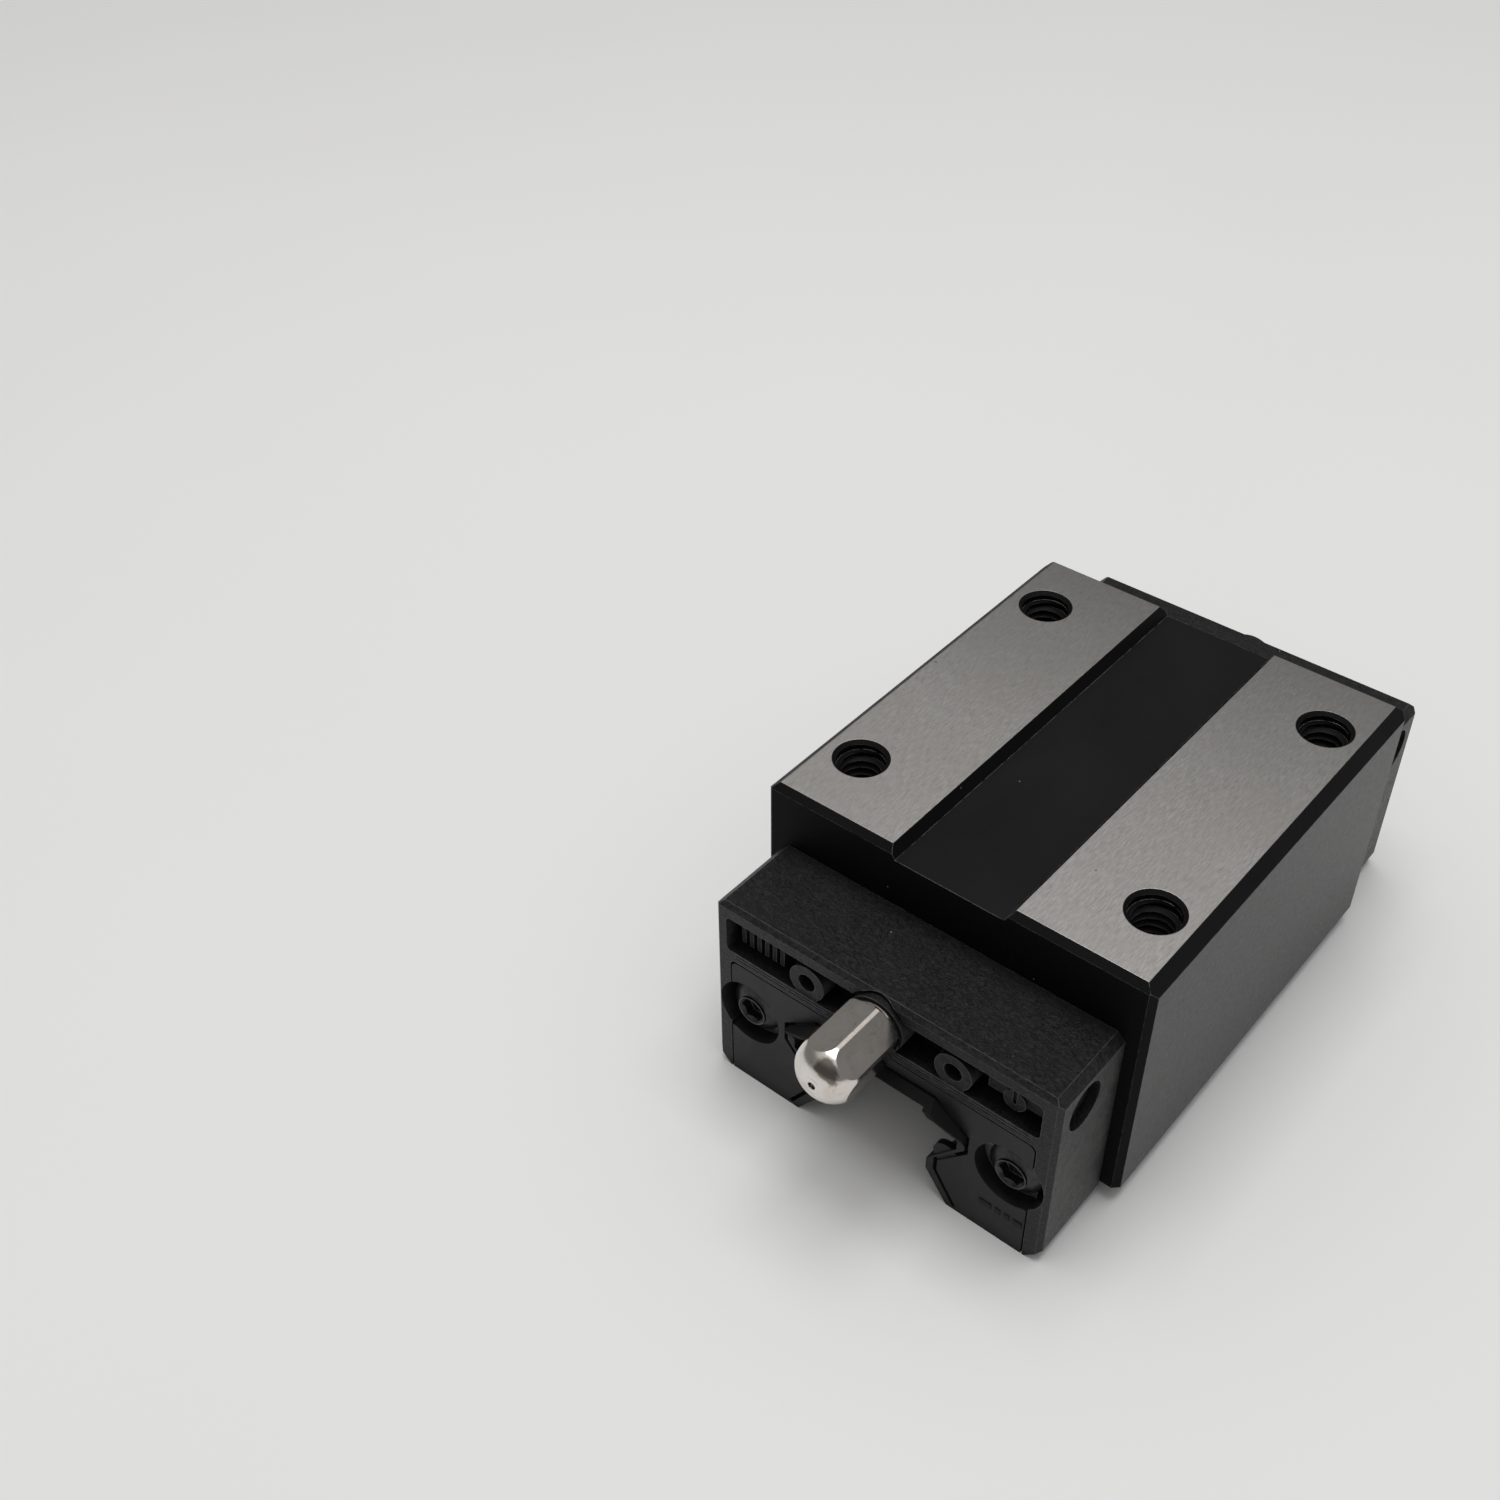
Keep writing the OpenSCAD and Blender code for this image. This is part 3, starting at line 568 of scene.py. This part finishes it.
def add_port_threads():
    cap_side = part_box("front_end_cap")[1].x
    for name, mount in mounts.items():
        if name.endswith("grease_port"):
            place = Vector(mount["pos_m"])
            way_out = Vector(mount["axis"])
            mouth = Vector((way_out.x * cap_side, place.y, place.z))
            wall = mount["dims"]["r_mm"] * MM
            depth = mount["dims"]["length_mm"] * MM
            thread = name.replace("grease_port", "port_thread")
            add_thread(thread, mouth, way_out, wall, depth, PORT_THREAD_MOUTH, cap_finish)


def block_of(low, high):
    """Points and faces of an upright box."""
    spans = list(zip(low, high))
    points = [Vector((x, y, z)) for x in spans[0] for y in spans[1] for z in spans[2]]
    faces = [(0, 1, 3, 2), (4, 6, 7, 5), (0, 4, 5, 1), (2, 3, 7, 6), (0, 2, 6, 4), (1, 5, 7, 3)]
    return points, faces


MARK_HEIGHT = 0.07 * MM
MARK_BOTTOM = -20.9 * MM
MARK_TOP = -20.35 * MM
MARKS_START_MM = 9.9
MARK_LENGTHS_MM = (1.1, 0.5, 0.5, 0.8)
MARK_GAP_MM = 0.3


def add_mould_marks(end, turn):
    """Plain raised dashes on an end seal below one screw. turn is 1 at the front, -1 at the rear."""
    face = cap_face_of(end)
    points, faces = [], []
    x_mm = MARKS_START_MM
    for length_mm in MARK_LENGTHS_MM:
        near, far = sorted((turn * x_mm * MM, turn * (x_mm + length_mm) * MM))
        low = (near, face - MARK_HEIGHT, MARK_BOTTOM)
        high = (far, face + MARK_HEIGHT, MARK_TOP)
        some, more = block_of(low, high)
        faces += [tuple(len(points) + k for k in corners) for corners in more]
        points += some
        x_mm += length_mm + MARK_GAP_MM
    add_piece(f"{end}_mould_marks", points, faces, "carriage", rubber_finish)


RING_RADIUS = 0.7 * MM
RING_WIRE = 0.06 * MM
RING_SIDES = 12
RING_STEPS = 48


def add_nipple_ring():
    """The small swaged ring round the nipple's orifice."""
    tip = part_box("grease_nipple")[0].y
    axis_z = mounts["nipple_head"]["pos_m"][2]
    points, faces = [], []
    for i in range(RING_STEPS):
        angle = 2 * math.pi * i / RING_STEPS
        for k in range(RING_SIDES):
            lean = 2 * math.pi * k / RING_SIDES
            away = RING_RADIUS + RING_WIRE * math.cos(lean)
            x, z = away * math.cos(angle), axis_z + away * math.sin(angle)
            points.append(Vector((x, tip + RING_WIRE * (1 + math.sin(lean)), z)))
            j, m = (i + 1) % RING_STEPS, (k + 1) % RING_SIDES
            faces.append((i * RING_SIDES + k, i * RING_SIDES + m, j * RING_SIDES + m, j * RING_SIDES + k))
    add_piece("nipple_tip_ring", points, faces, "carriage", nickel_finish, smooth=True)


# ---- floor and light ----

FLOOR_HALF = 3.0
FLOOR_TONES = (0.86, 0.9)
DOME_RISE = (0.5, 0.8)
DOME_STRENGTH = (0.2, 0.62)
DOME_WARMTH = 0.012
KEY_PLACE = (0.0, 0.02, 0.55)
KEY_SIZE = 0.35
KEY_WATTS = 1.5


def make_floor():
    paint = Paint("floor")
    darker, lighter = FLOOR_TONES
    paint.set(base_color=paint.mix(paint.noise(0.01, 3), grey(darker), grey(lighter)), roughness=0.85)
    level = cad_box[0].z
    corners = [(x * FLOOR_HALF, y * FLOOR_HALF, level) for x, y in ((-1, -1), (1, -1), (1, 1), (-1, 1))]
    mesh = bpy.data.meshes.new("floor")
    mesh.from_pydata(corners, [], [(0, 1, 2, 3)])
    mesh.materials.append(paint.material)
    floor = bpy.data.objects.new("floor", mesh)
    bpy.context.scene.collection.objects.link(floor)


def add_softbox(name, place, size, power):
    """A square area light that faces the object."""
    light = bpy.data.lights.new(name, "AREA")
    light.shape = "SQUARE"
    light.size = size
    light.energy = power
    lamp = bpy.data.objects.new(name, light)
    lamp.location = place
    lamp.rotation_mode = "QUATERNION"
    lamp.rotation_quaternion = (-Vector(place)).to_track_quat("-Z", "Y")
    bpy.context.scene.collection.objects.link(lamp)


def make_world():
    """A grey studio dome, darker towards the horizon."""
    world = bpy.data.worlds.new("studio")
    world.use_nodes = True
    nodes, links = world.node_tree.nodes, world.node_tree.links
    coords = nodes.new("ShaderNodeTexCoord")
    split = nodes.new("ShaderNodeSeparateXYZ")
    rise = nodes.new("ShaderNodeMapRange")
    ends = ("From Min", "From Max", "To Min", "To Max")
    for socket, value in zip(ends, (*DOME_RISE, *DOME_STRENGTH)):
        rise.inputs[socket].default_value = value
    background = nodes["Background"]
    background.inputs["Color"].default_value = grey(1.0, DOME_WARMTH)
    links.new(coords.outputs["Generated"], split.inputs[0])
    links.new(split.outputs["Z"], rise.inputs["Value"])
    links.new(rise.outputs[0], background.inputs["Strength"])
    bpy.context.scene.world = world


def make_light():
    add_softbox("key_softbox", KEY_PLACE, KEY_SIZE, KEY_WATTS)
    make_world()
    bpy.context.scene.view_settings.view_transform = "Standard"


make_camera()
dress_nodes()
add_mounting_threads()
add_port_threads()
add_mould_marks("front", 1)
add_mould_marks("rear", -1)
add_nipple_ring()
make_floor()
make_light()
